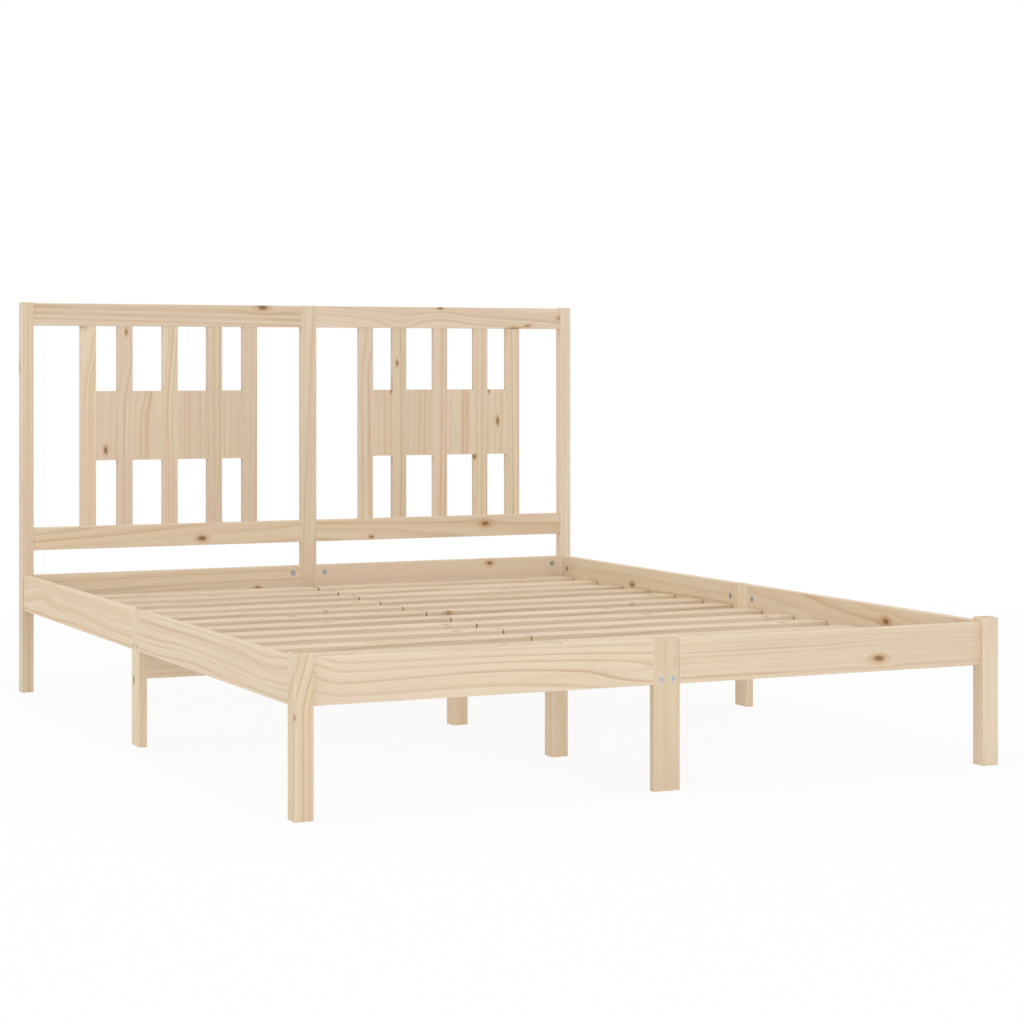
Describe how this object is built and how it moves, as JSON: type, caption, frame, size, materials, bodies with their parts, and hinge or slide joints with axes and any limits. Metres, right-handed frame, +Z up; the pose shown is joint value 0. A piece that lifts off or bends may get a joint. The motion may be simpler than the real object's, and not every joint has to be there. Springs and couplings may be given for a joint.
{
  "type": "bed frame",
  "caption": "Flat-pack pine bed frame with a slatted headboard, low rails, board legs between half rails and a slatted base.",
  "frame": {"origin": "on the floor, under the middle of the frame", "axes": "+X to the right-hand side seen from the foot, +Y from the foot to the headboard, +Z up"},
  "size_m": [1.565, 2.06, 1],
  "materials": {
    "pine_post": "raw planed pine, grain upright",
    "pine_rail": "raw planed pine, grain lengthwise",
    "pine_head_slat": "raw planed pine, grain upright",
    "pine_filler": "raw planed pine, grain upright",
    "pine_bed_slat": "raw planed pine, grain lengthwise",
    "pine_support": "raw planed pine, grain lengthwise",
    "beech_dowel": "plain beech",
    "bolt_steel": "bright zinc-plated steel",
    "cam_zinc": "die-cast zinc, dull",
    "screw_steel": "bright zinc-plated steel"
  },
  "bodies": {
    "root": {"barrel_nuts": "bolt_steel", "bed_slats_left": "pine_bed_slat", "bed_slats_right": "pine_bed_slat", "cam_bolts": "bolt_steel", "cam_locks": "cam_zinc", "centre_batten_foot": "pine_support", "centre_batten_head": "pine_support", "centre_leg_foot": "pine_support", "centre_leg_head": "pine_support", "centre_leg_middle": "pine_support", "cross_beam": "pine_support", "dowels": "beech_dowel", "end_leg_bolts": "bolt_steel", "foot_centre_leg": "pine_post", "foot_post_left": "pine_post", "foot_post_right": "pine_post", "foot_rail_left": "pine_rail", "foot_rail_right": "pine_rail", "head_centre_stile": "pine_post", "head_end_rail_left": "pine_rail", "head_end_rail_right": "pine_rail", "head_filler_left_1": "pine_filler", "head_filler_left_2": "pine_filler", "head_filler_left_3": "pine_filler", "head_filler_left_4": "pine_filler", "head_filler_right_1": "pine_filler", "head_filler_right_2": "pine_filler", "head_filler_right_3": "pine_filler", "head_filler_right_4": "pine_filler", "head_lower_rail_left": "pine_rail", "head_lower_rail_right": "pine_rail", "head_post_left": "pine_post", "head_post_right": "pine_post", "head_slat_left_1": "pine_head_slat", "head_slat_left_2": "pine_head_slat", "head_slat_left_3": "pine_head_slat", "head_slat_left_4": "pine_head_slat", "head_slat_left_5": "pine_head_slat", "head_slat_right_1": "pine_head_slat", "head_slat_right_2": "pine_head_slat", "head_slat_right_3": "pine_head_slat", "head_slat_right_4": "pine_head_slat", "head_slat_right_5": "pine_head_slat", "head_top_rail_left": "pine_rail", "head_top_rail_right": "pine_rail", "ledger_left_foot": "pine_support", "ledger_left_head": "pine_support", "ledger_right_foot": "pine_support", "ledger_right_head": "pine_support", "ledger_screws": "screw_steel", "side_leg_bolts": "bolt_steel", "side_leg_left": "pine_post", "side_leg_right": "pine_post", "side_rail_left_foot": "pine_rail", "side_rail_left_head": "pine_rail", "side_rail_right_foot": "pine_rail", "side_rail_right_head": "pine_rail", "slat_screws": "screw_steel", "support_screws": "screw_steel"}
  },
  "joints": []
}
